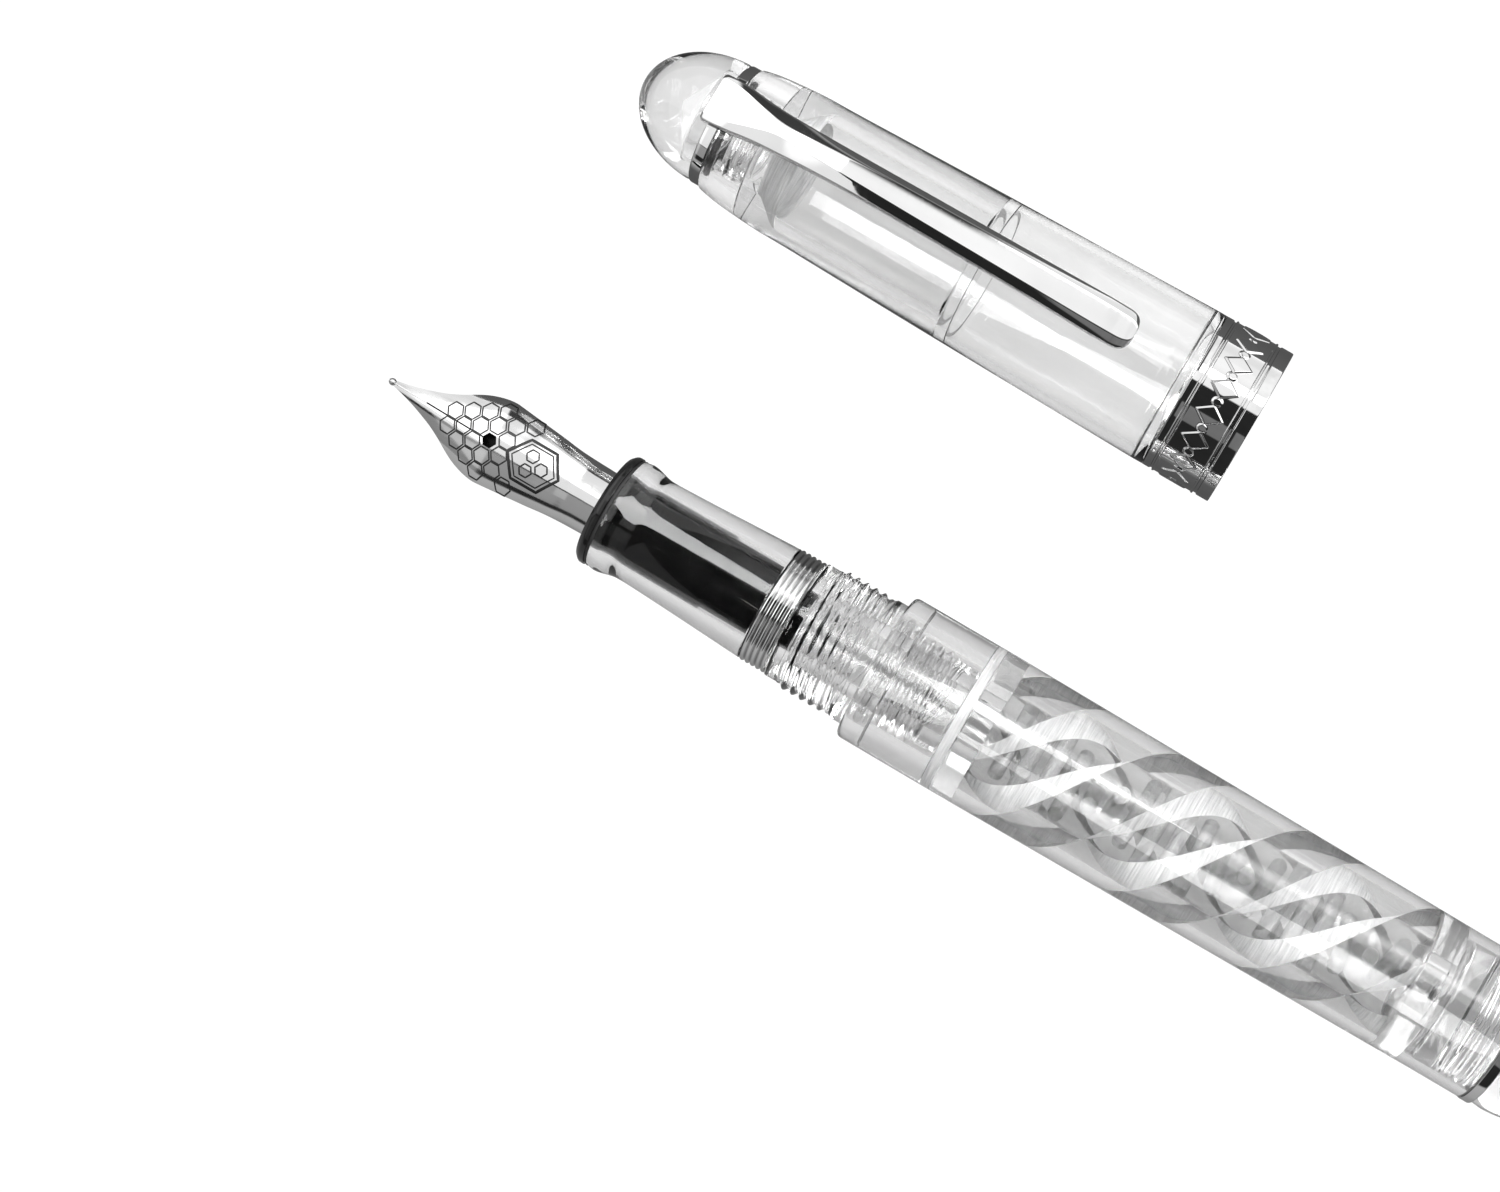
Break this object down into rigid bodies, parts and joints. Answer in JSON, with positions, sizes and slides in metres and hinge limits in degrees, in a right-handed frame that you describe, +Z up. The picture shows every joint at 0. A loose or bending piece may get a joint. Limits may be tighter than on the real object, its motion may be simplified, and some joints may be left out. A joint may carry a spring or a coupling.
{
  "type": "demonstrator fountain pen",
  "caption": "Clear acrylic fountain pen with its cap off: engraved steel nib, clear grip, threaded neck, barrel with a double-helix insert, and a cap with a clip and metal band.",
  "frame": {"origin": "centre of the object's footprint, on the surface that the pen and the cap lie on", "axes": "+X along the pen from the nib to the barrel's end, +Y from the pen toward the cap, +Z up"},
  "size_m": [0.1292, 0.0516, 0.0174],
  "materials": {
    "clear_acrylic": "polished cast acrylic",
    "milled_acrylic": "acrylic with milled, partly frosted faces",
    "clear_silicone": "translucent silicone",
    "polished_steel": "mirror polished",
    "nib_steel": "polished steel with fine engraving",
    "black_plastic": "satin black",
    "black_rubber": "soft black"
  },
  "bodies": {
    "barrel": {"barrel": "clear_acrylic", "helix_front_disc": "clear_acrylic", "helix_strand_a": "milled_acrylic", "helix_strand_b": "milled_acrylic", "helix_rungs": "milled_acrylic", "helix_rear_disc": "clear_acrylic"},
    "neck_seal": {"neck_oring": "clear_silicone"},
    "section": {"nib_housing": "black_plastic", "front_trim_ring": "black_plastic", "front_gasket": "black_rubber", "grip_sleeve": "clear_acrylic", "fine_rings": "polished_steel", "threaded_neck": "clear_acrylic"},
    "nib_unit": {"nib": "nib_steel", "nib_tipping": "nib_steel", "feed": "black_plastic"},
    "rear_seal": {"rear_oring": "clear_silicone", "rear_trim_ring": "polished_steel"},
    "rear_finial": {"rear_finial": "clear_acrylic"},
    "cap_seal": {"cap_seal": "black_rubber"},
    "cap_liner": {"inner_cap": "clear_acrylic"},
    "cap": {"cap_tube": "clear_acrylic", "cap_band": "polished_steel", "clip_ring": "polished_steel", "cap_finial": "clear_acrylic"},
    "clip": {"clip": "polished_steel"}
  },
  "joints": [
    {"name": "section_draw", "type": "slide", "parent": "barrel", "child": "neck_seal", "axis": [1, 0, 0], "range_m": [-0.00423, 0]},
    {"name": "section_turn", "type": "hinge", "parent": "neck_seal", "child": "section", "pos_m": [-0.00635, -0.01845, 0.0074], "axis": [1, 0, 0], "range_deg": [-1620, 0]},
    {"name": "nib_pull", "type": "slide", "parent": "section", "child": "nib_unit", "axis": [1, 0, 0], "range_m": [-0.012, 0]},
    {"name": "finial_draw", "type": "slide", "parent": "barrel", "child": "rear_seal", "axis": [-1, 0, 0], "range_m": [-0.00368, 0]},
    {"name": "finial_turn", "type": "hinge", "parent": "rear_seal", "child": "rear_finial", "pos_m": [0.05265, -0.01845, 0.0074], "axis": [-1, 0, 0], "range_deg": [-1440, 0]},
    {"name": "cap_carry", "type": "slide", "parent": "barrel", "child": "cap_seal", "axis": [-0.951, -0.3091, -0.0042], "range_m": [0, 0.11777]},
    {"name": "cap_push", "type": "slide", "parent": "cap_seal", "child": "cap_liner", "axis": [1, 0, 0], "range_m": [0, 0.09315]},
    {"name": "cap_turn", "type": "hinge", "parent": "cap_liner", "child": "cap", "pos_m": [-0.02775, 0.01795, 0.0079], "axis": [1, 0, 0], "range_deg": [0, 720]},
    {"name": "clip_flex", "type": "hinge", "parent": "cap", "child": "clip", "pos_m": [-0.04885, 0.01892, 0.01483], "axis": [0, -0.9903, 0.1392], "range_deg": [0, 3], "stiffness_Nm_per_rad": 1}
  ],
  "couplings": [
    {"joint": "section_turn", "follows": "section_draw", "rad_per_m": 6684},
    {"joint": "finial_turn", "follows": "finial_draw", "rad_per_m": 6829.5}
  ]
}
